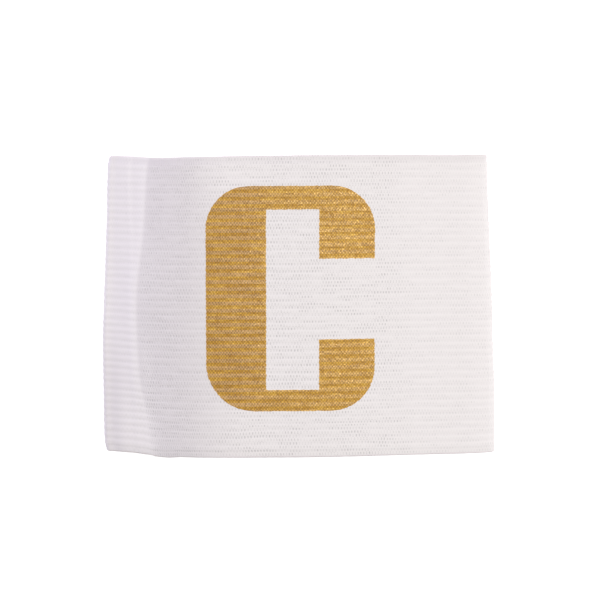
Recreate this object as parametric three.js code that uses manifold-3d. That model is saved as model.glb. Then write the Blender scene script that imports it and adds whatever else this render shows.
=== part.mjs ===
// Captain armband: a loop of wide ribbed elastic that lies on its back layer, with a block
// letter C printed on its front layer. Millimetres, +Z up. The ribs run along X, the loop's
// open edges face -Y and +Y, and the origin is under the middle of the band, on the table.

import * as THREE from 'three';
import { mergeVertices } from 'three/addons/utils/BufferGeometryUtils.js';
import Module from 'manifold-3d';

// The elastic band
const BAND_HEIGHT = 75; // from one open edge to the other
const LAID_WIDTH = 99.1; // across both folds, lying down
const CROWN_HEIGHT = 13.5; // from the table to the highest rib crest of the front layer
const WALL = 1.3; // from the elastic's inner face to a rib's crest
const LEFT_FOLD_INSIDE = 0.6; // inner radius where the band is folded tight
const RIGHT_FOLD_INSIDE = 2.1; // inner radius where it only bends over
const LAP_WALL = 1.0; // the elastic's lapped end inside the left fold, pressed by its stitches

// The ribs
const SELVEDGE = 1.8; // plain woven margin along each open edge
const SELVEDGE_DROP = 0.12; // below the rib crests
const RIB_PITCH = 1.785;
const RIB_DEPTH = 0.2; // from a crest to the groove beside it
const RIB_CREST_SHARE = 0.53; // of the pitch that a rib's flat crest takes
const RIB_DRIFT = 0.19; // how far the ribs of the front layer wander up or down

// The printed letter, seen from above with its top towards +Y
const LETTER_WIDTH = 41.8;
const LETTER_ACROSS = -1.7; // the letter's middle from the band's middle, along X
const LETTER_HEAD_MARGIN = 7.55; // from the letter's top to the band's upper open edge
const LETTER_FOOT_MARGIN = 11.65; // from the letter's bottom to the band's lower open edge
const STEM = 14.9; // width of the letter's left side
const COLUMN = 13.8; // width of the two stubs on its right side
const TOP_ARM = 5.8; // height of the bar between the stem and the upper stub
const BOTTOM_ARM = 5.3; // height of the bar between the stem and the lower stub
const MOUTH = 20.0; // height of the gap between the two stubs
const MOUTH_RISE = -0.08; // the mouth's middle above the letter's middle
const CORNER_RADIUS = 10.7; // of the letter's outer corners
const CORNER_STEPS = 7; // flats of each rounded corner
const PRINT_THICKNESS = 0.3;
const PRINT_CLEARANCE = 0.2; // between the print and the rib crests under it

// The band's outline and dome from its lower open edge to its upper one. up is a share of
// BAND_HEIGHT, left and right are how far the folds reach as shares of half of LAID_WIDTH,
// crown is a share of CROWN_HEIGHT, and crease moves the crease away from the left fold, as a
// share of the width between the two fold tips.
const STATIONS = [
  { up: 0, left: 0.983, right: 0.992, crown: 0.97, crease: 0.042 },
  { up: 0.035, left: 0.996, right: 0.999, crown: 0.97, crease: 0.038 },
  { up: 0.14, left: 1, right: 1, crown: 0.98, crease: 0.027 },
  { up: 0.24, left: 1, right: 0.998, crown: 0.985, crease: 0.0128 },
  { up: 0.38, left: 1, right: 0.988, crown: 0.99, crease: 0.006 },
  { up: 0.55, left: 0.99, right: 0.98, crown: 1, crease: 0 },
  { up: 0.75, left: 0.978, right: 0.964, crown: 1, crease: 0.0125 },
  { up: 0.965, left: 0.968, right: 0.951, crown: 1, crease: 0.0205 },
  { up: 1, left: 0.96, right: 0.953, crown: 1, crease: 0.021 },
];

// The front layer from the left fold to the right one. across is a share of the width between
// the two fold tips, lift is a share of the way up from the folds to the crown, lap is 1 where
// the lapped end lies under the layer, creased is how much a row follows the crease, and drift
// is a share of RIB_DRIFT.
const FRONT = [
  { across: 0.022, lift: 0.023, lap: 0, creased: 0, drift: -0.2 },
  { across: 0.042, lift: 0.115, lap: 1, creased: 0, drift: -0.3 },
  { across: 0.066, lift: 0.265, lap: 1, creased: 0.6, drift: -0.55 },
  { across: 0.086, lift: 0.4, lap: 1, creased: 1, drift: -0.85 },
  { across: 0.0905, lift: 0.42, lap: 0, creased: 1, drift: -0.9 },
  { across: 0.14, lift: 0.63, lap: 0, creased: 0.5, drift: -1 },
  { across: 0.205, lift: 0.835, lap: 0, creased: 0, drift: -0.8 },
  { across: 0.265, lift: 0.94, lap: 0, creased: 0, drift: -0.4 },
  { across: 0.34, lift: 0.997, lap: 0, creased: 0, drift: -0.05 },
  { across: 0.42, lift: 1, lap: 0, creased: 0, drift: 0.2 },
  { across: 0.51, lift: 0.997, lap: 0, creased: 0, drift: 0.45 },
  { across: 0.6, lift: 0.927, lap: 0, creased: 0, drift: 0.7 },
  { across: 0.7, lift: 0.739, lap: 0, creased: 0, drift: 0.9 },
  { across: 0.8, lift: 0.52, lap: 0, creased: 0, drift: 1 },
  { across: 0.89, lift: 0.305, lap: 0, creased: 0, drift: 0.9 },
  { across: 0.945, lift: 0.17, lap: 0, creased: 0, drift: 0.7 },
];

// Where each fold's arc starts and ends, in degrees from +X towards +Z, its steps, and its
// drift at either end as shares of RIB_DRIFT.
const RIGHT_ARC = { from: -90, to: 60, steps: 6, driftFrom: -1, driftTo: 0.6 };
const LEFT_ARC = { from: 125, to: 270, steps: 5, driftFrom: -0.2, driftTo: -1 };
const BACK = { steps: 4, drift: -1 }; // the flat back layer between the folds

// A value of STATIONS at a share of the band's height, on a smooth curve through its rows.
function stationValue(column, up) {
  const last = STATIONS.length - 1;
  let row = STATIONS.findIndex((station) => station.up >= up);
  row = THREE.MathUtils.clamp(row, 1, last);
  const at = (index) => STATIONS[THREE.MathUtils.clamp(index, 0, last)];
  const t = (up - at(row - 1).up) / (at(row).up - at(row - 1).up);
  const slope = (index) => {
    const span = at(index + 1).up - at(index - 1).up;
    return (at(index + 1)[column] - at(index - 1)[column]) / span;
  };
  const span = at(row).up - at(row - 1).up;
  const start = at(row - 1)[column];
  const end = at(row)[column];
  const blend = t * t * (3 - 2 * t);
  const pull = t * (1 - t) * ((1 - t) * slope(row - 1) - t * slope(row)) * span;
  return start + (end - start) * blend + pull;
}

// The points of a fold's arc, which touches the table, round its centre at x.
function arcPoints(centreX, radius, arc) {
  return Array.from({ length: arc.steps + 1 }, (_, step) => {
    const share = step / arc.steps;
    const angle = THREE.MathUtils.degToRad(THREE.MathUtils.lerp(arc.from, arc.to, share));
    const x = centreX + radius * Math.cos(angle);
    const z = Math.max(0, radius + radius * Math.sin(angle));
    return { x, z, lap: 0, drift: THREE.MathUtils.lerp(arc.driftFrom, arc.driftTo, share) };
  });
}

// The band's section through its rib crests at a share of its height: a closed ring of points
// from the back layer's right end round the right fold, over the front and round the left fold.
function sectionAt(up) {
  const leftTip = (-stationValue('left', up) * LAID_WIDTH) / 2;
  const rightTip = (stationValue('right', up) * LAID_WIDTH) / 2;
  const crown = stationValue('crown', up) * CROWN_HEIGHT;
  const crease = stationValue('crease', up);
  const leftRadius = WALL + LEFT_FOLD_INSIDE;
  const rightRadius = WALL + RIGHT_FOLD_INSIDE;
  const leftArc = arcPoints(leftTip + leftRadius, leftRadius, LEFT_ARC);
  const rightArc = arcPoints(rightTip - rightRadius, rightRadius, RIGHT_ARC);
  const leftTop = leftArc[0].z;
  const rightTop = rightArc[rightArc.length - 1].z;
  const front = FRONT.map((row) => {
    const across = row.across + crease * row.creased;
    const x = THREE.MathUtils.lerp(leftTip, rightTip, across);
    const foldTop = THREE.MathUtils.lerp(leftTop, rightTop, across);
    const z = THREE.MathUtils.lerp(foldTop, crown, row.lift);
    return { x, z, lap: row.lap, drift: row.drift };
  });
  const backStart = leftTip + leftRadius;
  const backEnd = rightTip - rightRadius;
  const back = Array.from({ length: BACK.steps - 1 }, (_, step) => {
    const x = THREE.MathUtils.lerp(backStart, backEnd, (step + 1) / BACK.steps);
    return { x, z: 0, lap: 0, drift: BACK.drift };
  });
  return [...rightArc, ...front.reverse(), ...leftArc, ...back];
}

// The section at a share of the height, moved outwards by an offset, as points in space.
function ringAt(up, offsetOf) {
  const section = sectionAt(up);
  const y = (up - 0.5) * BAND_HEIGHT;
  return section.map((point, index) => {
    const before = section[(index + section.length - 1) % section.length];
    const after = section[(index + 1) % section.length];
    const along = new THREE.Vector2(after.x - before.x, after.z - before.z).normalize();
    const offset = offsetOf(point);
    return new THREE.Vector3(
      point.x + along.y * offset,
      y + point.drift * RIB_DRIFT,
      point.z - along.x * offset,
    );
  });
}

// A closed solid through rings of equally many points, the last one joined to the first.
function ringSolid(rings) {
  const size = rings[0].length;
  const positions = rings.flatMap((ring) => ring.flatMap((point) => point.toArray()));
  const indices = [];
  rings.forEach((_, row) => {
    const next = (row + 1) % rings.length;
    for (let column = 0; column < size; column += 1) {
      const beside = (column + 1) % size;
      const a = row * size + column;
      const b = row * size + beside;
      const c = next * size + beside;
      const d = next * size + column;
      indices.push(a, c, b, a, d, c);
    }
  });
  const geometry = new THREE.BufferGeometry();
  geometry.setAttribute('position', new THREE.Float32BufferAttribute(positions, 3));
  geometry.setIndex(indices);
  return geometry;
}

// The rings of the smooth face that lies an offset outside the rib crests, from the upper open
// edge to the lower one.
function smoothRings(offsetOf) {
  return STATIONS.map((station) => ringAt(station.up, offsetOf)).reverse();
}

// The rings of the ribbed outer face, from the lower open edge to the upper one.
function ribbedRings() {
  const ribbed = BAND_HEIGHT - 2 * SELVEDGE;
  const count = Math.round(ribbed / RIB_PITCH);
  const pitch = ribbed / count;
  const crest = pitch * RIB_CREST_SHARE;
  const groove = pitch - crest;
  const rings = [];
  const addRing = (height, drop) => rings.push(ringAt(height / BAND_HEIGHT, () => -drop));
  addRing(0, SELVEDGE_DROP);
  addRing(SELVEDGE, SELVEDGE_DROP);
  for (let rib = 0; rib < count; rib += 1) {
    const start = SELVEDGE + rib * pitch;
    if (rib > 0) addRing(start, RIB_DEPTH);
    addRing(start + groove / 2, 0);
    addRing(start + groove / 2 + crest, 0);
  }
  addRing(BAND_HEIGHT - SELVEDGE, SELVEDGE_DROP);
  addRing(BAND_HEIGHT, SELVEDGE_DROP);
  return rings;
}

function bandGeometry() {
  const innerRings = smoothRings((point) => -WALL - point.lap * LAP_WALL);
  return ringSolid([...ribbedRings(), ...innerRings]);
}

// The outline of the block letter C, where it lies on the band seen from above.
function letterOutline() {
  const left = LETTER_ACROSS - LETTER_WIDTH / 2;
  const right = LETTER_ACROSS + LETTER_WIDTH / 2;
  const top = BAND_HEIGHT / 2 - LETTER_HEAD_MARGIN;
  const bottom = LETTER_FOOT_MARGIN - BAND_HEIGHT / 2;
  const mouthTop = (top + bottom) / 2 + MOUTH_RISE + MOUTH / 2;
  const mouthBottom = mouthTop - MOUTH;
  const radius = Math.min(CORNER_RADIUS, LETTER_WIDTH / 2, top - mouthTop, mouthBottom - bottom);
  const outline = new THREE.Shape();
  outline.moveTo(right, mouthTop);
  outline.lineTo(right, top - radius);
  outline.absarc(right - radius, top - radius, radius, 0, Math.PI / 2);
  outline.absarc(left + radius, top - radius, radius, Math.PI / 2, Math.PI);
  outline.absarc(left + radius, bottom + radius, radius, Math.PI, 1.5 * Math.PI);
  outline.absarc(right - radius, bottom + radius, radius, 1.5 * Math.PI, 2 * Math.PI);
  outline.lineTo(right, mouthBottom);
  outline.lineTo(right - COLUMN, mouthBottom);
  outline.lineTo(right - COLUMN, bottom + BOTTOM_ARM);
  outline.lineTo(left + STEM, bottom + BOTTOM_ARM);
  outline.lineTo(left + STEM, top - TOP_ARM);
  outline.lineTo(right - COLUMN, top - TOP_ARM);
  outline.lineTo(right - COLUMN, mouthTop);
  return outline;
}

const wasm = await Module();
wasm.setup();

function toManifold(geometry) {
  geometry.deleteAttribute('normal');
  geometry.deleteAttribute('uv');
  const merged = mergeVertices(geometry, 1e-4);
  return new wasm.Manifold(
    new wasm.Mesh({
      numProp: 3,
      vertProperties: new Float32Array(merged.attributes.position.array),
      triVerts: new Uint32Array(merged.index.array),
    }),
  );
}

function toGeometry(manifold) {
  const mesh = manifold.getMesh();
  const geometry = new THREE.BufferGeometry();
  geometry.setAttribute('position', new THREE.BufferAttribute(mesh.vertProperties, 3));
  geometry.setIndex(new THREE.BufferAttribute(mesh.triVerts, 1));
  return geometry;
}

// The print: a thin sleeve just outside the rib crests, cut to the letter's outline from above.
function letterGeometry() {
  const outerRings = smoothRings(() => PRINT_CLEARANCE + PRINT_THICKNESS).reverse();
  const innerRings = smoothRings(() => PRINT_CLEARANCE);
  const sleeve = toManifold(ringSolid([...outerRings, ...innerRings]));
  const cut = { depth: CROWN_HEIGHT, bevelEnabled: false, curveSegments: CORNER_STEPS };
  const cutter = new THREE.ExtrudeGeometry(letterOutline(), cut);
  cutter.translate(0, 0, CROWN_HEIGHT / 2);
  return toGeometry(sleeve.intersect(toManifold(cutter)));
}

function pieceMesh(name, geometry, finish) {
  geometry.computeVertexNormals();
  const mesh = new THREE.Mesh(geometry, new THREE.MeshStandardMaterial(finish));
  mesh.name = name;
  return mesh;
}

const armband = new THREE.Group();
armband.add(
  pieceMesh('elastic_band', bandGeometry(), { color: 0xece6e8, roughness: 0.85, metalness: 0 }),
  pieceMesh('letter_print', letterGeometry(), { color: 0xc19a5b, roughness: 0.45, metalness: 0.55 }),
);

export default armband;
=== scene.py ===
"""A captain's armband: a loop of wide ribbed elastic lying on its back layer, with a block
letter C in glitter print on its front layer. The ribs run along X, the loop's open edges face
-Y and +Y, and the band lies on the table at Z = 0."""

import math

import bpy
import numpy as np
from bpy.props import FloatProperty, FloatVectorProperty, PointerProperty
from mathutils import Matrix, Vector


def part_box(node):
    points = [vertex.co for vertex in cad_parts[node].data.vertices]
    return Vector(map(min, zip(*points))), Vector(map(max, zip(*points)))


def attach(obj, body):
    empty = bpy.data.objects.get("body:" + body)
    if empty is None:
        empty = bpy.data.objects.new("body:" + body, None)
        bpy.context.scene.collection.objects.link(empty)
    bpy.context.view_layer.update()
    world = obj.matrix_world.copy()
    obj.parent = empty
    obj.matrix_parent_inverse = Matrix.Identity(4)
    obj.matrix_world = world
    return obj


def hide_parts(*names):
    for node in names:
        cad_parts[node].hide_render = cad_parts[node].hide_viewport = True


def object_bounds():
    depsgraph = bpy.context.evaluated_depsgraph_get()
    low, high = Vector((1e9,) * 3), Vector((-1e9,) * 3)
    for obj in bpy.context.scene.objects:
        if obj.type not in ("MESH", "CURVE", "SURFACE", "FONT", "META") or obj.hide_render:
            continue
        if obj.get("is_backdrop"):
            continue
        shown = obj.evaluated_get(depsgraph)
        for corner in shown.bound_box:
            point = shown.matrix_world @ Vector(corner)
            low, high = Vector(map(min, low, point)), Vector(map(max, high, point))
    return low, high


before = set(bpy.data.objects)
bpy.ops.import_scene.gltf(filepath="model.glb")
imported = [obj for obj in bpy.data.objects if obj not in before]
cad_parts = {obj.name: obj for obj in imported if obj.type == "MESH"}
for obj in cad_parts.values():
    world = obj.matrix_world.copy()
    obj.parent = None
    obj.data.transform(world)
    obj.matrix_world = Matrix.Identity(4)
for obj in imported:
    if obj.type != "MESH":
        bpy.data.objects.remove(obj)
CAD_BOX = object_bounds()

bl_info = {
    "name": "Captain's Armband",
    "version": (1, 0, 0),
    "blender": (4, 5, 0),
    "location": "3D View > Sidebar > Armband",
    "description": "Weaves a ribbed elastic armband and prints the captain's letter on it",
    "category": "Add Mesh",
}

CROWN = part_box("elastic_band")[1].z

# The band from its lower open edge to its upper one: the share of its height, how far the
# left and right folds reach as shares of half the laid width, the crown as a share of its
# height, and how far the crease stands off, as a share of the width between the fold tips.
STATIONS = np.array([
    (0, 0.982, 1.0135, 0.97, 0.034),
    (0.035, 0.992, 1.0135, 0.97, 0.03),
    (0.14, 0.9955, 1.0122, 0.98, 0.022),
    (0.24, 0.9965, 1.009, 0.985, 0.0085),
    (0.38, 0.9975, 0.9995, 0.99, 0.002),
    (0.55, 0.988, 0.9917, 1, -0.003),
    (0.75, 0.975, 0.9765, 1, 0.01),
    (0.965, 0.965, 0.9625, 1, 0.017),
    (1, 0.9575, 0.9635, 1, 0.021),
])

# The front layer from the left fold to the right one: the share of the width between the fold
# tips, the share of the way up from the folds to the crown, how much of the lapped end lies
# under it, how much it follows the crease, and how far its ribs wander, as a share.
FRONT = np.array([
    (0.022, 0.023, 0, 0, -0.2),
    (0.042, 0.115, 1, 0, -0.3),
    (0.066, 0.265, 1, 0.6, -0.55),
    (0.086, 0.4, 1, 1, -0.85),
    (0.0905, 0.42, 0, 1, -0.9),
    (0.14, 0.63, 0, 0.8, -1),
    (0.205, 0.835, 0, 0.35, -0.8),
    (0.265, 0.94, 0, 0, -0.4),
    (0.34, 0.997, 0, 0, -0.05),
    (0.42, 1, 0, 0, 0.2),
    (0.51, 0.997, 0, 0, 0.45),
    (0.6, 0.927, 0, 0, 0.7),
    (0.7, 0.739, 0, 0, 0.9),
    (0.8, 0.52, 0, 0, 1),
    (0.89, 0.305, 0, 0, 0.9),
    (0.945, 0.17, 0, 0, 0.7),
])
RIGHT_ARC = {"angles": (-90, 60), "steps": 18, "wander": (-1, 0.6)}
LEFT_ARC = {"angles": (125, 270), "steps": 18, "wander": (-0.2, -1)}
FRONT_STEPS = 5  # columns from one row of FRONT to the next
BACK_COLUMNS = 30
X, Z, WANDER, LAPPED, ACROSS = range(5)  # what each column of a section holds

# By share of the width between the fold tips: how far both open edges sag in the front layer,
# in metres, how much painted shade darkens its stitch gaps, and how much of their depth its
# ribs keep.
SAG_AT = (0.02, 0.06, 0.1, 0.137, 0.18, 0.245, 0.5, 0.7, 0.9, 0.98)
HEAD_SAG = (0, 0.0001, 0.00042, 0.00052, 0.00028, 0.0002, 0, 0, 0, -0.00018)
FOOT_SAG = (0, 0.0001, 0.0005, 0.0005, 0.0001, 0.0001, 0.0001, 0.0001, 0.0001, 0)
SAG_REACH = 0.008  # how far in from the open edges the sag shows, in metres
BACK_SAG = 0.6  # the back layer's sag, as a share of the front layer's
GAP_SHADE_AT = (0.09, 0.12, 0.2, 0.26, 0.72, 0.8, 0.97)
GAP_SHADE = (0.2, 1.8, 1.8, 0.85, 0.85, 0.42, 0.38)
BACK_GAP_SHADE = 0.6  # how much painted shade darkens the back layer's stitch gaps, all over
RELIEF_AT = (0.08, 0.1, 0.7, 0.8)
RELIEF = (0.86, 0.62, 0.62, 1)

# By share of the band's height: how far its ribs have slipped down, in metres, how clearly a
# faint ridge beside the crease shows as a painted highlight in the painted shade there, and
# where the lapped end's edge shows through the front layer, with how widely, as shares of the
# width between the fold tips.
SLIP_AT = (0, 0.05, 0.09, 0.17, 0.25, 0.34, 0.42, 0.5, 0.58, 0.67, 0.75, 0.83, 0.92, 0.98)
SLIP = (
    0, 0.00033, 0.00037, 0.00038, 0.00021, 0.00002, 0.00002, 0.00009, 0.00015, 0, 0.00003, 0.0002,
    0.0001, 0,
)
PAINTED_RIDGE_AT = (0.08, 0.15, 0.25, 0.34, 0.45, 0.55, 0.63, 0.75)
PAINTED_RIDGE = (0.2, 0.5, 1, 0.8, 0.1, 0.2, 0.5, 0)
LAP_UP = (0.05, 0.15, 0.25, 0.4, 0.55, 0.7, 0.82, 0.95)
LAP_AT = (0.094, 0.09, 0.083, 0.076, 0.073, 0.072, 0.066, 0.061)
LAP_SPREAD = 0.0055

ROWS_A_RIB = 8
INNER_ROWS_A_RIB = 3
MARGIN_ROWS = 4
MARGIN_SHARE = 0.92  # how far into the margin these rows go, before the first rib's own row
ROUND_OFF = 0.34  # radius of both open edges, as a share of the wall
TURN_STEPS = 7  # steps round such an edge, from the outer face to the inner one
LAP_LENGTH = 0.008  # how much of the flat cloth lies double in the seam, in metres

# The letter's level edges, from its foot to its head.
LEVELS = ("bottom", "bottom_arm", "mouth_bottom", "mouth_top", "top_arm", "top")
LEVEL_SLACK = 1e-9
ROW_CLEARANCE = 0.45  # how near a row may come to such an edge, as a share of the rows' pitch
BANDING = 1, 0.6  # how strongly its ribs' lit sides show, left and right of the stem's edge
BANDING_REACH = 0.004  # how far from that edge the one has passed into the other, in metres
STRAY_ALONG, STRAY_UP = 1.2, 0.8  # how the print's edge strays, as shares of its raggedness
SUNK = 0.00015  # how deep the print's underside lies in the cloth, in metres
FURROW_SHARE = 0.85  # how much of the furrows between the ribs the print follows
RIM_THINNING = 0.4  # how much of the film is missing at its rim

# The weave, by its place across a rib, from 0 in the furrow below it to 1 in the one above.
LIT_SIDE = 0.14  # how far the rib's lit side lies above its middle
FIRST_KNOTS = 0.39  # where the first of its four rows of knots begins
WEAVE_SIZES = {
    "Rib pitch": "rib_pitch", "Stitch pitch": "stitch_pitch", "Margin": "margin",
    "Height": "height",
}
WEAVE_RESULTS = ("Rib top", "Rib side", "Gap", "Knot", "Chance", "Streak", "Plain", "Edge")

# The grain of the materials, as cells to a metre of cloth.
FIBRES = 9000
FLECKS = 3400
PULLS = 260
STREAKS = 160

CAMERA = {
    "sensor": 36, "lens": 104.56, "distance": 0.43, "tip": math.radians(4.5),
    "target": (0.000669, 0.001908, 0.0135),
}
KEY_LIGHT = {
    "place": (0.34, 0.2, 1.09), "target": (0, 0, 0.01), "size": (0.7, 0.9),
    "colour": (1, 0.985, 0.97),
}
LOW_LIGHT = {
    "place": (-0.35, 0.17, 0.045), "target": (-0.03, 0, 0.01), "size": (0.25, 0.06),
    "colour": (0.77, 0.73, 1),
}
TABLE_HALF = 2.0
TABLE_GAP = 0.00002  # how far the table lies below the band, so that no faces coincide


class BandSizes(bpy.types.PropertyGroup):
    """The elastic band's sizes"""

    height: FloatProperty(
        name="Height", description="From one open edge to the other",
        default=0.075, unit="LENGTH", precision=4,
    )
    laid_width: FloatProperty(
        name="Laid width", description="Across both folds, lying down",
        default=0.0991, unit="LENGTH", precision=4,
    )
    crown: FloatProperty(
        name="Crown", description="From the table to the highest rib of the front layer",
        default=CROWN, unit="LENGTH", precision=4,
    )
    wall: FloatProperty(
        name="Wall", description="Thickness of the elastic over a rib",
        default=0.0013, unit="LENGTH", precision=5,
    )
    lap_wall: FloatProperty(
        name="Lapped end", description="Thickness of the lapped end inside the left fold",
        default=0.001, unit="LENGTH", precision=5,
    )
    left_inside: FloatProperty(
        name="Left fold", description="Inner radius of the left fold",
        default=0.0006, unit="LENGTH", precision=5,
    )
    right_inside: FloatProperty(
        name="Right fold", description="Inner radius of the right fold",
        default=0.0021, unit="LENGTH", precision=5,
    )
    margin: FloatProperty(
        name="Margin", description="Plain woven margin along each open edge",
        default=0.0018, unit="LENGTH", precision=5,
    )
    margin_drop: FloatProperty(
        name="Margin drop", description="How far the margin lies below the ribs",
        default=0.00012, unit="LENGTH", precision=5,
    )
    rib_pitch: FloatProperty(
        name="Rib pitch", description="From one rib to the next",
        default=0.001785, unit="LENGTH", precision=6,
    )
    rib_depth: FloatProperty(
        name="Rib depth", description="From a rib's top to the furrow beside it",
        default=0.00009, unit="LENGTH", precision=5,
    )
    lap_ridge: FloatProperty(
        name="Lap ridge", description="How far the lapped end's edge lifts the front layer",
        default=0.00012, unit="LENGTH", precision=5,
    )
    wander: FloatProperty(
        name="Rib wander", description="How far the front layer's ribs run up or down",
        default=0.00019, unit="LENGTH", precision=5,
    )
    stitch_pitch: FloatProperty(
        name="Stitch pitch", description="From one woven stitch to the next along a rib",
        default=0.00074, unit="LENGTH", precision=6,
    )


class LetterSizes(bpy.types.PropertyGroup):
    """The printed letter's sizes, where it lies on the band seen from above"""

    width: FloatProperty(
        name="Width", description="Across the letter", default=0.0418, unit="LENGTH", precision=4,
    )
    across: FloatProperty(
        name="Across", description="The letter's middle from the band's middle",
        default=-0.0017, unit="LENGTH", precision=4,
    )
    head_margin: FloatProperty(
        name="Head margin", description="From the letter's top to the band's upper open edge",
        default=0.00755, unit="LENGTH", precision=5,
    )
    foot_margin: FloatProperty(
        name="Foot margin", description="From the letter's foot to the band's lower open edge",
        default=0.01165, unit="LENGTH", precision=5,
    )
    stem: FloatProperty(
        name="Stem", description="Width of the letter's left side",
        default=0.0149, unit="LENGTH", precision=4,
    )
    column: FloatProperty(
        name="Column", description="Width of the two stubs on the letter's right side",
        default=0.0138, unit="LENGTH", precision=4,
    )
    top_arm: FloatProperty(
        name="Top arm", description="Height of the bar between the stem and the upper stub",
        default=0.0058, unit="LENGTH", precision=4,
    )
    bottom_arm: FloatProperty(
        name="Bottom arm", description="Height of the bar between the stem and the lower stub",
        default=0.0053, unit="LENGTH", precision=4,
    )
    mouth: FloatProperty(
        name="Mouth", description="Height of the gap between the two stubs",
        default=0.02, unit="LENGTH", precision=4,
    )
    mouth_rise: FloatProperty(
        name="Mouth rise", description="The mouth's middle above the letter's middle",
        default=-0.00008, unit="LENGTH", precision=5,
    )
    corner: FloatProperty(
        name="Corner", description="Radius of the letter's outer corners",
        default=0.0107, unit="LENGTH", precision=4,
    )
    foot_corner: FloatProperty(
        name="Foot corner", description="Radius of the corner at the foot of the stem",
        default=0.0121, unit="LENGTH", precision=4,
    )
    film: FloatProperty(
        name="Film", description="Thickness of the print over the cloth",
        default=0.00006, unit="LENGTH", precision=6,
    )
    ragged: FloatProperty(
        name="Ragged edge", description="How far the print's edge strays round the stitches",
        default=0.00009, unit="LENGTH", precision=6,
    )


class Finishes(bpy.types.PropertyGroup):
    """The colours of the cloth and of the print"""

    elastic: FloatVectorProperty(
        name="Elastic", description="The elastic's ribs", subtype="COLOR",
        default=(0.9, 0.86, 0.865), min=0, max=1,
    )
    # Painted shade: the elastic a little darker in the furrows between the ribs, and darker still in
    # the stitch gaps.
    furrow: FloatVectorProperty(
        name="Furrow", description="The elastic between two ribs", subtype="COLOR",
        default=(0.888, 0.848, 0.855), min=0, max=1,
    )
    margin: FloatVectorProperty(
        name="Margin", description="The very edge of the woven margin", subtype="COLOR",
        default=(0.79, 0.7, 0.73), min=0, max=1,
    )
    # Painted shade on the elastic beside the crease, over the lapped end, on the upper margin and
    # low in the left fold, with the violet cast of the cool low light.
    painted_shade: FloatVectorProperty(
        name="Painted shade", description="Painted shade on the elastic beside the crease", subtype="COLOR",
        default=(0.735, 0.692, 0.713), min=0, max=1,
    )
    gold: FloatVectorProperty(
        name="Gold", description="The print in the furrows between the ribs", subtype="COLOR",
        default=(0.558, 0.288, 0.025), min=0, max=1,
    )
    glint: FloatVectorProperty(
        name="Glint", description="The lightest flecks of the print", subtype="COLOR",
        default=(0.85, 0.54, 0.105), min=0, max=1,
    )
    # Pale flecks scattered over the print.
    fleck: FloatVectorProperty(
        name="Fleck", description="Pale flecks over the print",
        subtype="COLOR", default=(0.94, 0.69, 0.32), min=0, max=1,
    )
    umber: FloatVectorProperty(
        name="Umber", description="The darkest flecks of the print", subtype="COLOR",
        default=(0.345, 0.163, 0.026), min=0, max=1,
    )
    # Painted highlight: the print on a rib's lit side, paler where its film reflects the lights.
    painted_lit_gold: FloatVectorProperty(
        name="Beige", description="The print on the lit side of a rib", subtype="COLOR",
        default=(0.625, 0.37, 0.132), min=0, max=1,
    )
    bronze: FloatVectorProperty(
        name="Bronze", description="The duller print between the stitches",
        subtype="COLOR", default=(0.475, 0.255, 0.075), min=0, max=1,
    )


class Studio(bpy.types.PropertyGroup):
    """The table and the lights"""

    table: FloatVectorProperty(
        name="Table", description="The table's colour", subtype="COLOR",
        default=(0.9, 0.9, 0.9), min=0, max=1,
    )
    table_glow: FloatProperty(
        name="Table glow", description="The table's own glow, as the camera sees it",
        default=0.6, min=0,
    )
    table_bounce: FloatProperty(
        name="Table bounce", description="The table's own glow, as it falls on the armband",
        default=0.58, min=0,
    )
    key: FloatProperty(
        name="Key", description="The soft light on the right, in watts", default=11.9, min=0,
    )
    low: FloatProperty(
        name="Low light", description="The low light on the left, in watts", default=0.49, min=0,
    )
    sky: FloatProperty(
        name="Sky", description="Light from all round", default=0.2, min=0,
    )


def station_values(up):
    """The left, right, crown and crease values at a share of the band's height."""
    last = len(STATIONS) - 1
    row = min(max(int(np.searchsorted(STATIONS[:, 0], up)), 1), last)

    def at(index):
        return STATIONS[min(max(index, 0), last)]

    def slope(index):
        return (at(index + 1)[1:] - at(index - 1)[1:]) / (at(index + 1)[0] - at(index - 1)[0])

    start, end = at(row - 1), at(row)
    span = end[0] - start[0]
    t = (up - start[0]) / span
    pull = t * (1 - t) * ((1 - t) * slope(row - 1) - t * slope(row)) * span
    return start[1:] + (end[1:] - start[1:]) * t * t * (3 - 2 * t) + pull


def fold_arc(centre, radius, arc):
    """Points round a fold that touches the table, as rows of a section."""
    angles = np.radians(np.linspace(*arc["angles"], arc["steps"] + 1))
    wander = np.linspace(*arc["wander"], arc["steps"] + 1)
    x = centre + radius * np.cos(angles)
    z = np.maximum(radius + radius * np.sin(angles), 0)
    lapped = np.zeros(len(angles))
    across = np.full(len(angles), float(centre > 0))
    return np.stack([x, z, wander, lapped, across], 1)


def smooth_through(points, steps):
    """A smooth curve with so many steps between each two points. It runs from the second point
    to just before the last but one: the first and the last points only steer it."""
    out = []
    for p0, p1, p2, p3 in zip(points, points[1:], points[2:], points[3:]):
        knots = [0.0]
        for a, b in ((p0, p1), (p1, p2), (p2, p3)):
            knots.append(knots[-1] + max(np.hypot(*(b - a)[:2]), 1e-9) ** 0.5)
        k0, k1, k2, k3 = knots
        for step in range(steps):
            k = k1 + (k2 - k1) * step / steps
            a1 = p0 + (p1 - p0) * (k - k0) / (k1 - k0)
            a2 = p1 + (p2 - p1) * (k - k1) / (k2 - k1)
            a3 = p2 + (p3 - p2) * (k - k2) / (k3 - k2)
            b1 = a1 + (a2 - a1) * (k - k0) / (k2 - k0)
            b2 = a2 + (a3 - a2) * (k - k1) / (k3 - k1)
            out.append(b1 + (b2 - b1) * (k - k1) / (k2 - k1))
            out[-1][LAPPED:] = p1[LAPPED:] + (p2 - p1)[LAPPED:] * step / steps
    return out


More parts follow.
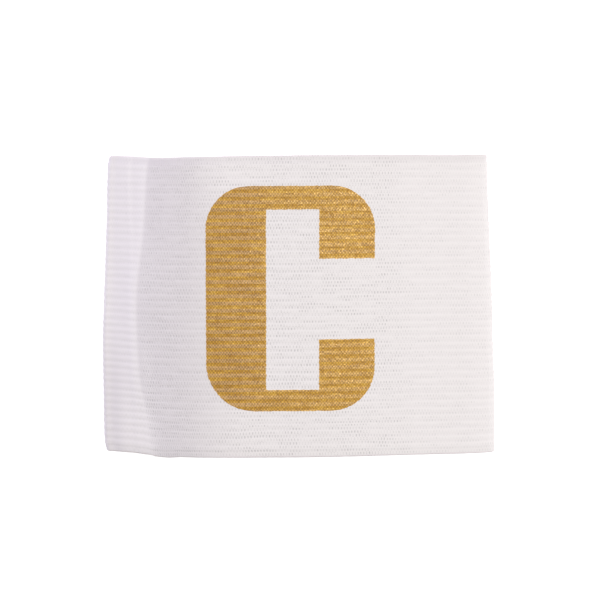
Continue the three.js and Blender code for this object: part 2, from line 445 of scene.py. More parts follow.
def back_line(start, end):
    """Points along the back layer on the table, between the folds, as rows of a section."""
    share = np.arange(1, BACK_COLUMNS + 1) / (BACK_COLUMNS + 1)
    none = np.zeros(BACK_COLUMNS)
    return np.stack([start + (end - start) * share, none, none - 1, none, share], 1)


def lap_edge(up, reach):
    """How clearly the lapped end's edge shows at a share of the way between the fold tips."""
    return np.exp(-(((reach - np.interp(up, LAP_UP, LAP_AT)) / LAP_SPREAD) ** 2))


def section_at(sizes, up):
    """The band's section through its rib tops at a share of its height: a closed ring, from the
    back layer's right end round the right fold, with X, Z, WANDER, LAPPED and ACROSS."""
    left, right, crown, crease = station_values(up)
    left_tip = -left * sizes.laid_width / 2
    right_tip = right * sizes.laid_width / 2
    left_radius = sizes.wall + sizes.left_inside
    right_radius = sizes.wall + sizes.right_inside
    right_arc = fold_arc(right_tip - right_radius, right_radius, RIGHT_ARC)
    left_arc = fold_arc(left_tip + left_radius, left_radius, LEFT_ARC)
    across, rise, lapped, follows, wander = FRONT.T
    share = across + crease * follows
    x = left_tip + (right_tip - left_tip) * share
    low = left_arc[0, Z] + (right_arc[-1, Z] - left_arc[0, Z]) * share
    z = low + (crown * sizes.crown - low) * rise
    front = np.stack([x, z, wander, lapped, across], 1)[::-1]
    steered = np.concatenate([right_arc[-2:], front, left_arc[:2]])
    curve = np.array(smooth_through(steered, FRONT_STEPS))
    reach = (curve[:, X] - left_tip) / (right_tip - left_tip)
    curve[:, Z] += sizes.lap_ridge * lap_edge(up, reach)
    back = back_line(left_tip + left_radius, right_tip - right_radius)
    return np.concatenate([right_arc[:-1], curve, left_arc, back])


def offset_ring(section, offset):
    """A section's points moved outwards by an offset each, as x and z."""
    along = np.roll(section, -1, 0)[:, :2] - np.roll(section, 1, 0)[:, :2]
    along /= np.hypot(along[:, 0], along[:, 1])[:, None]
    return section[:, X] + along[:, 1] * offset, section[:, Z] - along[:, 0] * offset


def ease(low, high, value):
    """A smooth step from 0 at low to 1 at high, whichever of them is the larger."""
    share = np.clip((value - low) / (high - low), 0, 1)
    return share * share * (3 - 2 * share)


def slip(sizes, height):
    """How far the ribs lie below their even places at a height above the lower edge."""
    return np.interp(height / sizes.height, SLIP_AT, SLIP)


def rib_drop(sizes, height, relief=1.0):
    """How far the cloth's face lies below the rib tops at a height above the lower edge: in the
    furrows, less in the one beside each margin, and evenly in the margins."""
    inside = np.minimum(height, sizes.height - height) - sizes.margin
    phase = inside / sizes.rib_pitch % 1
    furrow = ease(0.2, 0.85, abs(phase - 0.5) * 2)
    beside_margin = ease(0.5, 0, inside / sizes.rib_pitch)
    ribbed = relief * sizes.rib_depth * furrow * (1 - 0.4 * beside_margin)
    return np.where(inside > 0, ribbed, sizes.margin_drop)


def cloth_rows(sizes):
    """The rows round the cloth's thickness: height above the lower open edge, depth below the
    rib tops as a share of the wall, and how much the ribs show. The outer face comes first. On
    the inner face they show half as much, and the other way."""
    rib_count = round((sizes.height - 2 * sizes.margin) / sizes.rib_pitch)
    ribbed = np.arange(rib_count * ROWS_A_RIB + 1) / ROWS_A_RIB * sizes.rib_pitch + sizes.margin
    round_off = sizes.wall * ROUND_OFF
    edge = np.linspace(round_off, sizes.margin * MARGIN_SHARE, MARGIN_ROWS)
    outer = np.concatenate([edge, ribbed, (sizes.height - edge)[::-1]])
    rows = [(height, 0.0, 1.0) for height in outer]
    middle = 0.5 + 0.5 * sizes.margin_drop / sizes.wall
    half = 0.5 - 0.5 * sizes.margin_drop / sizes.wall
    upper = []
    lower = []
    for angle in np.linspace(0, math.pi, TURN_STEPS + 1)[1:-1]:
        inset = round_off * (1 - math.sin(angle))
        upper.append((sizes.height - inset, middle - half * math.cos(angle), 0))
        lower.append((inset, middle + half * math.cos(angle), 0))
    inner_count = rib_count * INNER_ROWS_A_RIB
    inner_ribs = np.arange(inner_count + 1) / INNER_ROWS_A_RIB * sizes.rib_pitch + sizes.margin
    inner = np.concatenate([[round_off], inner_ribs, [sizes.height - round_off]])[::-1]
    return rows + upper + [(height, 1.0, -0.5) for height in inner] + lower


def new_piece(name, points, faces, coords):
    """A smooth-shaded mesh piece with its cloth coordinates, one pair for each face corner."""
    mesh = bpy.data.meshes.new(name)
    mesh.from_pydata(points.tolist(), [], faces.tolist())
    layer = mesh.uv_layers.new(name="Cloth")
    layer.uv.foreach_set("vector", np.asarray(coords, np.float32).ravel())
    mesh.shade_smooth()
    mesh.update()
    piece = bpy.data.objects.new(name, mesh)
    bpy.context.scene.collection.objects.link(piece)
    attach(piece, "root")
    return piece


def cloth_lengths(sizes):
    """How far each column lies round the loop, measured on the cloth, and the loop's length."""
    section = section_at(sizes, 0.5)
    step = np.diff(np.concatenate([section, section[:1]])[:, :2], axis=0)
    lengths = np.concatenate([[0], np.cumsum(np.hypot(step[:, 0], step[:, 1]))])
    return lengths[:-1], lengths[-1]


def sagged(sizes, height, across, front):
    """How far both layers are drawn in beside the open edges, the back layer less."""
    head = ease(SAG_REACH, 0, sizes.height - height) * np.interp(across, SAG_AT, HEAD_SAG)
    foot = ease(SAG_REACH, 0, height) * np.interp(across, SAG_AT, FOOT_SAG)
    return (head + foot) * np.where(front, 1, BACK_SAG)


def mark(piece, name, values):
    """Stores a value for each point of a piece, for its material."""
    layer = piece.data.attributes.new(name, "FLOAT", "POINT")
    layer.data.foreach_set("value", np.asarray(values, np.float32).ravel())


def painted_shade(up, across, reach):
    """How much painted shade the front layer gets: a little over the lapped end, but not along its
    edge, most beside the crease, less along the faint ridge beside it, and a little on the upper
    margin and low in the left fold. The crease is soft near the lower open edge."""
    low = ease(0.27, 0.1, up)
    lap_edge_lift = (0.45 + 0.45 * ease(0.6, 0.9, up)) * lap_edge(up, reach)
    strip = (0.42 - 0.15 * low) * ease(0.1, 0.06, across) * (1 - lap_edge_lift)
    far = across + 0.045 * ease(0.65, 0.95, up)
    beside = ease(0.085, 0.1 + 0.035 * low, across) * (1 - 0.18 * low)
    beside = beside * np.interp(far, (0.22, 0.27, 0.36), (0.96, 0.72, 0))
    # A painted highlight along a faint ridge beside the crease: less shade is painted there.
    at_ridge = np.exp(-(((across - 0.118) / 0.014) ** 2))
    beside = beside * (1 - 0.5 * np.interp(up, PAINTED_RIDGE_AT, PAINTED_RIDGE) * at_ridge)
    at_crease = np.exp(-(((across - 0.1) / 0.03) ** 2))
    margin = (0.25 + 0.3 * at_crease) * ease(0.97, 0.98, up)
    corner = 0.6 * ease(0.5, 0.1, up) * ease(0.06, 0.035, across)
    return strip + beside + margin + corner


def slip_share(up, across):
    """How much of the ribs' slip shows: less low down over the lapped end, and none under the
    print's foot."""
    over_lap = 0.8 * ease(0.45, 0.3, up) * ease(0.11, 0.075, across)
    under_print = ease(0.13, 0.1, up) * ease(0.33, 0.42, across) * ease(0.75, 0.66, across)
    return (1 - over_lap) * (1 - under_print)


def wall_faces(rows, columns):
    """The quads of a wall that is closed both round its rows and round its columns."""
    row = np.arange(rows)[:, None] * columns
    column = np.arange(columns)[None]
    a = (row + column).ravel()
    b = (row + (column + 1) % columns).ravel()
    c = (b + columns) % (rows * columns)
    d = (a + columns) % (rows * columns)
    return np.stack([a, d, c, b], 1)


def wall_coords(heights, lengths, loop):
    """The cloth coordinates of those quads' corners, in metres along the loop and up it."""
    along = np.tile(lengths, len(heights))
    beside = np.tile(np.append(lengths[1:], loop), len(heights))
    here = np.repeat(heights, len(lengths))
    above = np.repeat(np.roll(heights, -1), len(lengths))
    return np.stack([
        np.stack([along, here], 1), np.stack([along, above], 1),
        np.stack([beside, above], 1), np.stack([beside, here], 1),
    ], 1)


def band_piece(sizes):
    """The elastic loop, one closed wall, marked where shade is painted on it and how much painted
    shade darkens its stitch gaps.
    """
    rows = cloth_rows(sizes)
    lengths, loop = cloth_lengths(sizes)
    columns = len(lengths)
    across = section_at(sizes, 0.5)[:, ACROSS]
    front = np.arange(columns) < columns - BACK_COLUMNS
    relief = np.where(front, np.interp(across, RELIEF_AT, RELIEF), 1)
    points = np.zeros((len(rows), columns, 3))
    reach = np.zeros((len(rows), columns))
    for index, (height, share, ribs) in enumerate(rows):
        up = height / sizes.height
        section = section_at(sizes, up)
        reach[index] = (section[:, X] - section[:, X].min()) / np.ptp(section[:, X])
        depth = share * (sizes.wall + section[:, LAPPED] * sizes.lap_wall)
        x, z = offset_ring(section, -depth - ribs * rib_drop(sizes, height, relief))
        y = height - sizes.height / 2 + section[:, WANDER] * sizes.wander
        y -= slip(sizes, height) * slip_share(up, across) + sagged(sizes, height, across, front)
        points[index] = np.stack([x, y, z], 1)
    heights = np.array([row[0] for row in rows])
    faces = wall_faces(len(rows), columns)
    coords = wall_coords(heights, lengths, loop)
    piece = new_piece("ribbed_elastic", points.reshape(-1, 3), faces, coords)
    # Where shade is painted on the front layer, stored on its points.
    painted_shade_share = painted_shade(heights[:, None] / sizes.height, across[None], reach) * front
    # How strongly shade is painted into the stitch gaps, by place across the front layer.
    weave = np.where(front, np.interp(across, GAP_SHADE_AT, GAP_SHADE), BACK_GAP_SHADE)
    mark(piece, "Painted shade", painted_shade_share)
    mark(piece, "Gap shade", np.tile(weave, len(rows)))
    return piece


def letter_edges(letter, sizes):
    """The letter's outline as named lines, in metres from the band's middle."""
    left = letter.across - letter.width / 2
    right = letter.across + letter.width / 2
    top = sizes.height / 2 - letter.head_margin
    bottom = letter.foot_margin - sizes.height / 2
    mouth_top = (top + bottom) / 2 + letter.mouth_rise + letter.mouth / 2
    return {
        "left": left, "right": right, "top": top, "bottom": bottom,
        "mouth_top": mouth_top, "mouth_bottom": mouth_top - letter.mouth,
        "stem": left + letter.stem, "column": right - letter.column,
        "top_arm": top - letter.top_arm, "bottom_arm": bottom + letter.bottom_arm,
    }


def corner_inset(edges, head_radius, foot_radius, y):
    """How far the arcs of its two corners draw one side of the outline in at a height."""
    above = np.clip(y - (edges["top"] - head_radius), 0, head_radius)
    below = np.clip(edges["bottom"] + foot_radius - y, 0, foot_radius)
    head = head_radius - np.sqrt(head_radius ** 2 - above ** 2)
    return head + foot_radius - np.sqrt(foot_radius ** 2 - below ** 2)


def letter_rows(sizes, edges):
    """Heights of the letter's rows: those of the ribs, and its own level edges."""
    levels = np.array([edges[name] for name in LEVELS])
    pitch = sizes.rib_pitch / ROWS_A_RIB
    woven = np.arange(sizes.margin, sizes.height - sizes.margin, pitch)
    ribs = woven - slip(sizes, woven) - sizes.height / 2
    ribs = ribs[(ribs > edges["bottom"]) & (ribs < edges["top"])]
    clear = np.min(abs(ribs[:, None] - levels[None]), axis=1) > pitch * ROW_CLEARANCE
    return np.sort(np.concatenate([ribs[clear], levels]))


def letter_grid(letter, sizes, edges, rows):
    """The print's points along each of its rows, and which cells between them are printed. Its
    columns fill the stem, then the two arms, then the two stubs."""
    head_radius = min(letter.corner, letter.width / 2, edges["top"] - edges["mouth_top"])
    foot_radius = min(letter.foot_corner, letter.stem, edges["mouth_bottom"] - edges["bottom"])
    left = edges["left"] + corner_inset(edges, head_radius, foot_radius, rows)
    right = edges["right"] - corner_inset(edges, head_radius, head_radius, rows)
    stem = np.full(len(rows), edges["stem"])
    column = np.full(len(rows), edges["column"])
    spans = [
        (left, stem, None),
        (stem, column, ("bottom_arm", "top_arm")),
        (column, right, ("mouth_bottom", "mouth_top")),
    ]
    x = [left]
    cells = []
    for start, end, gap in spans:
        count = round(float((end - start).max()) / (sizes.stitch_pitch / 2))
        for share in np.arange(1, count + 1) / count:
            x.append(start + (end - start) * share)
        printed = np.ones(len(rows) - 1, bool)
        if gap:
            low, high = (edges[name] for name in gap)
            printed = (rows[:-1] < low - LEVEL_SLACK) | (rows[1:] > high + LEVEL_SLACK)
        cells += [printed] * count
    return np.stack(x, 1), np.stack(cells, 1)


def front_under(sizes, lengths, y, x):
    """The front layer under one row of points: its height, its ribs' wander, the length of cloth
    round the loop, and its slope."""
    section = section_at(sizes, y / sizes.height + 0.5)
    start = RIGHT_ARC["steps"]
    seen = slice(start, start + (len(FRONT) + 1) * FRONT_STEPS)
    front = section[seen][::-1]
    slope = np.gradient(front[:, Z], front[:, X])
    values = front[:, Z], front[:, WANDER], lengths[seen][::-1], slope
    return [np.interp(x, front[:, X], value) for value in values]


def film_faces(cell, printed):
    """The film's quads: those on top, the same ones below, and those round its rim."""
    number = np.full(printed.shape, -1)
    number[printed] = np.arange(printed.sum())
    corners = number[:-1, :-1], number[:-1, 1:], number[1:, 1:], number[1:, :-1]
    top = np.stack(corners, 2)[cell]
    below = int(printed.sum())
    edges = [pair for quad in top.tolist() for pair in zip(quad, quad[1:] + quad[:1])]
    shared = set(edges)
    rim = [(q, p, p + below, q + below) for p, q in edges if (q, p) not in shared]
    return np.concatenate([top, top[:, ::-1] + below, np.array(rim)])


def letter_piece(letter, sizes):
    """The print: a thin film over the ribs of the front layer, ragged round its rim."""
    edges = letter_edges(letter, sizes)
    rows = letter_rows(sizes, edges)
    x, cell = letter_grid(letter, sizes, edges, rows)
    padded = np.pad(cell, 1).astype(int)
    touched = padded[:-1, :-1] + padded[:-1, 1:] + padded[1:, :-1] + padded[1:, 1:]
    printed = touched > 0
    rim = printed & (touched < 4)
    stray = letter.ragged * rim * np.random.default_rng(7).uniform(-1, 1, (2,) + x.shape)
    x = x + STRAY_ALONG * stray[0]
    y = rows[:, None] + STRAY_UP * stray[1]
    lengths, _ = cloth_lengths(sizes)
    front = [front_under(sizes, lengths, height, points) for height, points in zip(rows, x)]
    top, wander, along, slope = np.array(front).transpose(1, 0, 2)
    tilt = np.arctan(slope)
    woven = y + sizes.height / 2
    woven = woven + slip(sizes, woven)
    drop = FURROW_SHARE * rib_drop(sizes, woven)

    def layer(lift):
        rise = lift - drop
        face = x - np.sin(tilt) * rise, y + wander * sizes.wander, top + np.cos(tilt) * rise
        return np.stack(face, 2)[printed]

    upper = layer(letter.film * (1 - RIM_THINNING * rim))
    lower = layer(-SUNK)
    faces = film_faces(cell, printed)
    cloth = np.tile(np.stack([along, woven], 2)[printed], (2, 1))
    points = np.concatenate([upper, lower])
    piece = new_piece("gold_letter", points, faces, cloth[faces.ravel()])
    piece.data.set_sharp_from_angle(angle=math.radians(40))
    fade = edges["stem"] - BANDING_REACH, edges["stem"] + BANDING_REACH
    banded = np.interp(x, fade, BANDING)
    mark(piece, "Rim", np.tile(rim[printed], 2))
    mark(piece, "Banded", np.tile(banded[printed], 2))
    return piece


def feed(tree, target, value):
    """Links an input to a socket, or sets it to a value."""
    if isinstance(value, bpy.types.NodeSocket):
        tree.links.new(value, target)
    else:
        target.default_value = value


def calc(tree, operation, *values):
    """The result of a sum or other operation on values."""
    node = tree.nodes.new("ShaderNodeMath")
    node.operation = operation
    for target, value in zip(node.inputs, values):
        feed(tree, target, value)
    return node.outputs[0]


def ramp(tree, value, low, high, start=0.0, end=1.0):
    """A smooth step of a value from low to high."""
    node = tree.nodes.new("ShaderNodeMapRange")
    node.interpolation_type = "SMOOTHSTEP"
    for name, number in (("From Min", low), ("From Max", high), ("To Min", start), ("To Max", end)):
        feed(tree, node.inputs[name], number)
    feed(tree, node.inputs["Value"], value)
    return node.outputs["Result"]


def blend(tree, share, first, second):
    """A colour between two, by a share."""
    node = tree.nodes.new("ShaderNodeMix")
    node.data_type = "RGBA"
    feed(tree, node.inputs[0], share)
    feed(tree, node.inputs[6], first)
    feed(tree, node.inputs[7], second)
    return node.outputs[2]


def grain(tree, coords, scale, detail):
    """Smooth noise over coordinates."""
    node = tree.nodes.new("ShaderNodeTexNoise")
    feed(tree, node.inputs["Vector"], coords)
    node.inputs["Scale"].default_value = scale
    node.inputs["Detail"].default_value = detail
    return node.outputs["Fac"]


def pair_of(tree, x, y):
    """Two values as one vector."""
    node = tree.nodes.new("ShaderNodeCombineXYZ")
    feed(tree, node.inputs[0], x)
    feed(tree, node.inputs[1], y)
    return node.outputs[0]


def random_at(tree, x, y):
    """A random value for each pair of whole numbers."""
    node = tree.nodes.new("ShaderNodeTexWhiteNoise")
    node.noise_dimensions = "3D"
    tree.links.new(pair_of(tree, x, y), node.inputs["Vector"])
    return node.outputs["Value"]


def triangle(tree, turns):
    """How far a value lies from the middle between two whole numbers, from 0 to 0.5."""
    return calc(tree, "ABSOLUTE", calc(tree, "SUBTRACT", calc(tree, "FRACT", turns), 0.5))


def stitch_gaps(tree, ribs, stitches):
    """The gaps between the stitches, in two rows to each rib, half a stitch apart."""
    rows = calc(tree, "ADD", calc(tree, "MULTIPLY", ribs, 2.0), 0.5)
    row_shift = calc(tree, "MULTIPLY", calc(tree, "FLOOR", rows), 0.5)
    between = triangle(tree, calc(tree, "ADD", stitches, row_shift))
    in_row = ramp(tree, triangle(tree, rows), 0.5, 0.25)
    return calc(tree, "MULTIPLY", ramp(tree, between, 0.16, 0.4), in_row)


def knot_rows(tree, ribs, stitches, along):
    """Four rows of knots to each rib: the knots, a random value for each of them, and slow
    streaks along each row."""
    quarters = calc(tree, "MULTIPLY", calc(tree, "SUBTRACT", ribs, FIRST_KNOTS), 4.0)
    row = calc(tree, "FLOOR", quarters)
    knots = calc(tree, "ADD", stitches, calc(tree, "MULTIPLY", row, 0.5))
    knot = ramp(tree, triangle(tree, knots), 0.42, 0.08)
    chance = random_at(tree, calc(tree, "FLOOR", calc(tree, "MULTIPLY", knots, 2.0)), row)
    along_streaks = calc(tree, "MULTIPLY", along, STREAKS)
    place = pair_of(tree, along_streaks, calc(tree, "MULTIPLY", row, 7.3))
    return knot, chance, ramp(tree, grain(tree, place, 1, 1), 0.3, 0.7)


def rib_weave():
    """The elastic's weave, by its cloth coordinates and sizes: the rounded top of each rib, its
    lit side, the gaps between the stitches, the knots with their random values and streaks, the
    plain margins and their very edges."""
    if "Rib weave" in bpy.data.node_groups:
        return bpy.data.node_groups["Rib weave"]
    tree = bpy.data.node_groups.new("Rib weave", "ShaderNodeTree")
    sockets = [("Cloth", "INPUT", "NodeSocketVector")]
    sockets += [(name, "INPUT", "NodeSocketFloat") for name in WEAVE_SIZES]
    sockets += [(name, "OUTPUT", "NodeSocketFloat") for name in WEAVE_RESULTS]
    for name, way, kind in sockets:
        tree.interface.new_socket(name=name, in_out=way, socket_type=kind)
    given = tree.nodes.new("NodeGroupInput").outputs
    split = tree.nodes.new("ShaderNodeSeparateXYZ")
    tree.links.new(given["Cloth"], split.inputs[0])
    along, height = split.outputs[0], split.outputs[1]
    ribs = calc(tree, "SUBTRACT", height, given["Margin"])
    ribs = calc(tree, "DIVIDE", ribs, given["Rib pitch"])
    to_edge = calc(tree, "MINIMUM", height, calc(tree, "SUBTRACT", given["Height"], height))
    margins = calc(tree, "DIVIDE", to_edge, given["Margin"])
    plain = ramp(tree, margins, 1.15, 0.95)
    top = ramp(tree, triangle(tree, ribs), 0.3, 0.14)
    top = calc(tree, "MULTIPLY", top, calc(tree, "SUBTRACT", 1.0, plain))
    side = ramp(tree, triangle(tree, calc(tree, "SUBTRACT", ribs, LIT_SIDE)), 0.3, 0.2)
    pulls = grain(tree, given["Cloth"], PULLS, 1)
    pulled = calc(tree, "MULTIPLY", calc(tree, "SUBTRACT", pulls, 0.5), 0.7)
    stitches = calc(tree, "ADD", calc(tree, "DIVIDE", along, given["Stitch pitch"]), pulled)
    gap = stitch_gaps(tree, ribs, stitches)
    knot, chance, streak = knot_rows(tree, ribs, stitches, along)
    edge = ramp(tree, margins, 0.42, 0.1)
    result = tree.nodes.new("NodeGroupOutput")
    values = top, side, gap, knot, chance, streak, plain, edge
    for name, value in zip(WEAVE_RESULTS, values):
        tree.links.new(value, result.inputs[name])
    return tree


def new_material(name, sizes):
    """A material with its shader, the cloth coordinates and the weave by the band's sizes."""
    material = bpy.data.materials.new(name)
    material.use_nodes = True
    tree = material.node_tree
    shader = tree.nodes["Principled BSDF"]
    cloth = tree.nodes.new("ShaderNodeUVMap")
    cloth.uv_map = "Cloth"
    weave = tree.nodes.new("ShaderNodeGroup")
    weave.node_tree = rib_weave()
    tree.links.new(cloth.outputs[0], weave.inputs["Cloth"])
    for name, size in WEAVE_SIZES.items():
        weave.inputs[name].default_value = getattr(sizes, size)
    return material, tree, shader, cloth.outputs[0], weave.outputs


def attribute(tree, name):
    """The value that was stored for each point under a name."""
    node = tree.nodes.new("ShaderNodeAttribute")
    node.attribute_name = name
    return node.outputs["Fac"]


def rgba(colour, share=1.0):
    """A colour, darkened to a share, with its alpha."""
    return (*(channel * share for channel in colour), 1.0)


def raise_face(tree, shader, height, distance, strength):
    """Fine relief for a shader."""
    bump = tree.nodes.new("ShaderNodeBump")
    bump.inputs["Strength"].default_value = strength
    bump.inputs["Distance"].default_value = distance
    tree.links.new(height, bump.inputs["Height"])
    tree.links.new(bump.outputs[0], shader.inputs["Normal"])


def elastic_material(finishes, sizes):
    """White ribs, with painted shade that makes the furrows and stitch gaps a little darker, a rosy
    margin, and painted shade beside the crease.
    """
    material, tree, shader, cloth, weave = new_material("White elastic", sizes)
    # Painted shade in the stitch gaps, as strong as the band's points are marked for, and patchy.
    gap = calc(tree, "MULTIPLY", weave["Gap"], attribute(tree, "Gap shade"))
    gap = calc(tree, "MULTIPLY", gap, ramp(tree, weave["Chance"], 0, 1, 0.5, 1.5))
    gap = calc(tree, "MULTIPLY", gap, ramp(tree, weave["Streak"], 0.15, 0.85, 0.5, 1.5))
    edge = calc(tree, "MULTIPLY", weave["Edge"], 0.4)
    # Painted shade in the furrows between the ribs, then darker still in the stitch gaps.
    colour = blend(tree, weave["Rib top"], rgba(finishes.furrow), rgba(finishes.elastic))
    colour = blend(tree, weave["Plain"], colour, rgba(finishes.elastic, 0.97))
    colour = blend(tree, calc(tree, "MULTIPLY", gap, 0.38), colour, rgba(finishes.furrow, 0.62))
    colour = blend(tree, edge, colour, rgba(finishes.margin))
    # Painted shade beside the crease, over the lapped end, on the upper margin and low in the left
    # fold.
    painted_shade = calc(tree, "MULTIPLY", attribute(tree, "Painted shade"), 0.75)
    colour = blend(tree, painted_shade, colour, rgba(finishes.painted_shade))
    tree.links.new(colour, shader.inputs["Base Color"])
    fibres = grain(tree, cloth, FIBRES, 3)
    tree.links.new(ramp(tree, fibres, 0.2, 0.8, 0.78, 0.95), shader.inputs["Roughness"])
    height = calc(tree, "SUBTRACT", calc(tree, "MULTIPLY", fibres, 0.5), gap)
    raise_face(tree, shader, height, 0.00006, 0.5)
    shader.inputs["Sheen Weight"].default_value = 0.15
    shader.inputs["Sheen Roughness"].default_value = 0.5
    shader.inputs["Specular IOR Level"].default_value = 0.25
    return material


def print_material(finishes, sizes):
    """Gold glitter: rich in the furrows, pale on the ribs' lit sides as a painted highlight, with
    knots and flecks.
    """
    material, tree, shader, cloth, weave = new_material("Gold glitter print", sizes)
    side, knot = weave["Rib side"], weave["Knot"]
    flecks = tree.nodes.new("ShaderNodeTexVoronoi")
    flecks.inputs["Scale"].default_value = FLECKS
    tree.links.new(cloth, flecks.inputs["Vector"])
    split = tree.nodes.new("ShaderNodeSeparateColor")
    tree.links.new(flecks.outputs["Color"], split.inputs[0])
    light, dark = split.outputs[0], split.outputs[1]
    glitter = calc(tree, "MULTIPLY", knot, ramp(tree, side, 0, 1, 0.3, 0.46))
    glitter = calc(tree, "ADD", glitter, calc(tree, "MULTIPLY", weave["Chance"], 0.3))
    glitter = calc(tree, "ADD", glitter, calc(tree, "MULTIPLY", weave["Streak"], 0.24))
    furrow = blend(tree, ramp(tree, glitter, 0.1, 0.5), rgba(finishes.umber), rgba(finishes.gold))
    furrow = blend(tree, ramp(tree, glitter, 0.45, 0.85), furrow, rgba(finishes.glint))
    bronze = rgba(finishes.bronze, 0.62)
    # Painted highlight on the ribs' lit sides: paler print, duller between the stitches.
    painted_lit_gold = blend(tree, ramp(tree, glitter, 0.1, 0.8), bronze, rgba(finishes.painted_lit_gold))
    banded = attribute(tree, "Banded")
    colour = blend(tree, calc(tree, "MULTIPLY", side, banded), furrow, painted_lit_gold)
    # Painted light: right of the stem's edge, where more light falls, the print is lightened towards
    # glint.
    painted_light_right = calc(tree, "MULTIPLY", calc(tree, "SUBTRACT", 1.0, banded), 0.1)
    colour = blend(tree, painted_light_right, colour, rgba(finishes.glint))
    colour = blend(tree, ramp(tree, light, 0.7, 0.95, 0.0, 0.18), colour, rgba(finishes.fleck))
    colour = blend(tree, ramp(tree, dark, 0.75, 0.95, 0.0, 0.18), colour, rgba(finishes.umber))
    # The print's rim is lightened towards glint: partly its own lighter edge, partly painted light
    # over the shade along the film's side.
    rim = calc(tree, "MULTIPLY", attribute(tree, "Rim"), 0.25)
    colour = blend(tree, rim, colour, rgba(finishes.glint))
    tree.links.new(colour, shader.inputs["Base Color"])
    tree.links.new(ramp(tree, light, 0.35, 0.75, 0.0, 0.3), shader.inputs["Metallic"])
    tree.links.new(ramp(tree, dark, 0.1, 0.9, 0.42, 0.7), shader.inputs["Roughness"])
    height = calc(tree, "ADD", calc(tree, "MULTIPLY", light, 0.5), calc(tree, "MULTIPLY", knot, 0.5))
    raise_face(tree, shader, height, 0.00005, 0.7)
    return material


def dress(piece, material, slot, *nodes):
    """Gives a piece its material, and hides the nodes that it stands for. The slot is not used."""
    piece.data.materials.append(material)
    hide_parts(*nodes)


def soft_light(name, watts, place, target, size, colour):
    """A rectangular lamp aimed at a target."""
    light = bpy.data.lights.new(name, "AREA")
    light.shape = "RECTANGLE"
    light.size, light.size_y = size
    light.energy = watts
    light.color = colour
    lamp = bpy.data.objects.new(name, light)
    bpy.context.scene.collection.objects.link(lamp)
    lamp.visible_camera = False
    lamp.location = place
    direction = Vector(target) - Vector(place)
    lamp.rotation_euler = direction.to_track_quat("-Z", "Y").to_euler()


def table_material(studio):
    """A white table that glows a little, so that it looks as blank as a lit sweep."""
    material = bpy.data.materials.new("White table")
    material.use_nodes = True
    tree = material.node_tree
    shader = tree.nodes["Principled BSDF"]
    shader.inputs["Base Color"].default_value = rgba(studio.table)
    shader.inputs["Roughness"].default_value = 0.7
    shader.inputs["Specular IOR Level"].default_value = 0.2
    shader.inputs["Emission Color"].default_value = (1, 1, 1, 1)
    path = tree.nodes.new("ShaderNodeLightPath")
    glow = ramp(tree, path.outputs["Is Camera Ray"], 0, 1, studio.table_bounce, studio.table_glow)
    tree.links.new(glow, shader.inputs["Emission Strength"])
    return material


def table_piece(studio):
    """The wide white table under the band."""
    mesh = bpy.data.meshes.new("table")
    half = TABLE_HALF
    corners = [(-half, -half, 0), (half, -half, 0), (half, half, 0), (-half, half, 0)]
    mesh.from_pydata(corners, [], [(0, 1, 2, 3)])
    table = bpy.data.objects.new("table", mesh)
    table.location.z = -TABLE_GAP
    bpy.context.scene.collection.objects.link(table)
    mesh.materials.append(table_material(studio))
    table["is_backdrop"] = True


def set_sky(studio):
    """Light from all round, and pure white where the camera sees past the table."""
    world = bpy.data.worlds.new("Studio")
    bpy.context.scene.world = world
    world.use_nodes = True
    tree = world.node_tree
    sky = tree.nodes["Background"]
    sky.inputs["Strength"].default_value = studio.sky
    seen = tree.nodes.new("ShaderNodeBackground")
    seen.inputs["Color"].default_value = (1, 1, 1, 1)
    sky.inputs["Color"].default_value = (1, 1, 1, 1)
    path = tree.nodes.new("ShaderNodeLightPath")
    mix = tree.nodes.new("ShaderNodeMixShader")
    tree.links.new(path.outputs["Is Camera Ray"], mix.inputs[0])
    tree.links.new(sky.outputs[0], mix.inputs[1])
    tree.links.new(seen.outputs[0], mix.inputs[2])
    tree.links.new(mix.outputs[0], tree.nodes["World Output"].inputs[0])


def set_camera():
    """A long lens over the armband, tipped a little towards its upper edge."""
    data = bpy.data.cameras.new("Camera")
    data.sensor_width = CAMERA["sensor"]
    data.lens = CAMERA["lens"]
    data.clip_start = 0.01
    camera = bpy.data.objects.new("Camera", data)
    bpy.context.scene.collection.objects.link(camera)
    tip = CAMERA["tip"]
    back = Vector((0, math.sin(tip), math.cos(tip)))
    camera.location = Vector(CAMERA["target"]) + CAMERA["distance"] * back
    camera.rotation_euler = (-tip, 0, 0)
    bpy.context.scene.camera = camera


class WeaveBand(bpy.types.Operator):
    """Weave the ribbed elastic loop"""

    bl_idname = "armband.weave_band"
    bl_label = "Weave Elastic Band"

    def execute(self, context):
        scene = context.scene
        piece = band_piece(scene.armband_band)
        material = elastic_material(scene.armband_finishes, scene.armband_band)
        dress(piece, material, "white_elastic", "elastic_band")
        return {"FINISHED"}


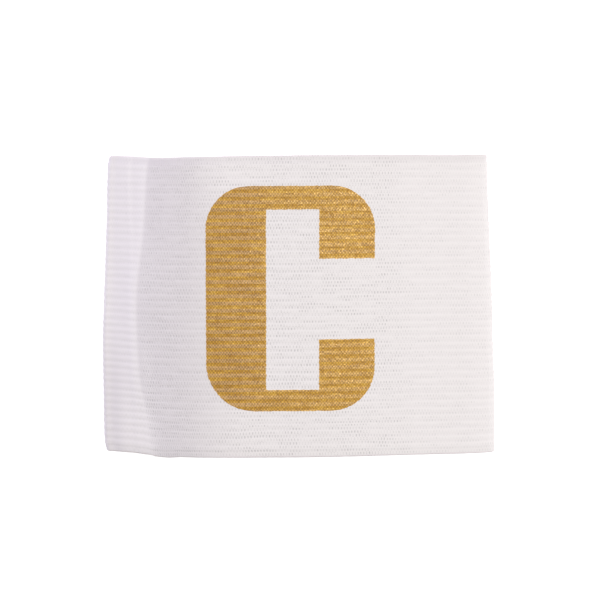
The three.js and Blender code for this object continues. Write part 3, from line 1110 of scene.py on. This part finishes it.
class PrintLetter(bpy.types.Operator):
    """Print the captain's letter on the front layer"""

    bl_idname = "armband.print_letter"
    bl_label = "Print Letter"

    def execute(self, context):
        scene = context.scene
        sizes = scene.armband_band
        band = bpy.data.objects.get("ribbed_elastic")
        if band is None:
            raise RuntimeError("Weave the band before the letter is printed on it")
        letter = letter_piece(scene.armband_letter, sizes)
        material = print_material(scene.armband_finishes, sizes)
        dress(letter, material, "gold_glitter", "letter_print")
        flat = sizes.height, cloth_lengths(sizes)[1] + LAP_LENGTH
        return {"FINISHED"}


class SetStage(bpy.types.Operator):
    """Set the white table, the soft lights and the camera"""

    bl_idname = "armband.set_stage"
    bl_label = "Set Stage"

    def execute(self, context):
        studio = context.scene.armband_studio
        table_piece(studio)
        set_sky(studio)
        soft_light("Key", studio.key, **KEY_LIGHT)
        soft_light("Low light", studio.low, **LOW_LIGHT)
        set_camera()
        context.scene.view_settings.view_transform = "Standard"
        return {"FINISHED"}


class ArmbandPanel(bpy.types.Panel):
    """Lists the armband's sizes, finishes and steps"""

    bl_idname = "VIEW3D_PT_armband"
    bl_label = "Captain's Armband"
    bl_space_type = "VIEW_3D"
    bl_region_type = "UI"
    bl_category = "Armband"

    def draw(self, context):
        layout = self.layout
        for title, (pointer, _) in SETTINGS.items():
            box = layout.box()
            box.label(text=title)
            settings = getattr(context.scene, pointer)
            for name in settings.bl_rna.properties.keys():
                if name not in ("rna_type", "name"):
                    box.prop(settings, name)
        for step in STEPS:
            layout.operator(step.bl_idname)


SETTINGS = {
    "Band": ("armband_band", BandSizes),
    "Letter": ("armband_letter", LetterSizes),
    "Finishes": ("armband_finishes", Finishes),
    "Studio": ("armband_studio", Studio),
}
STEPS = (WeaveBand, PrintLetter, SetStage)


def register():
    for name, group in SETTINGS.values():
        bpy.utils.register_class(group)
        setattr(bpy.types.Scene, name, PointerProperty(type=group))
    for step in STEPS:
        bpy.utils.register_class(step)
    bpy.utils.register_class(ArmbandPanel)


def unregister():
    bpy.utils.unregister_class(ArmbandPanel)
    for step in reversed(STEPS):
        bpy.utils.unregister_class(step)
    for name, group in reversed(SETTINGS.values()):
        delattr(bpy.types.Scene, name)
        bpy.utils.unregister_class(group)


def main():
    register()
    bpy.ops.armband.weave_band()
    bpy.ops.armband.print_letter()
    bpy.ops.armband.set_stage()
    boxes = {"cad": CAD_BOX, "visual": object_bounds()}
    boxes = {name: [[float(n) for n in corner] for corner in box] for name, box in boxes.items()}


if __name__ == "__main__":
    main()
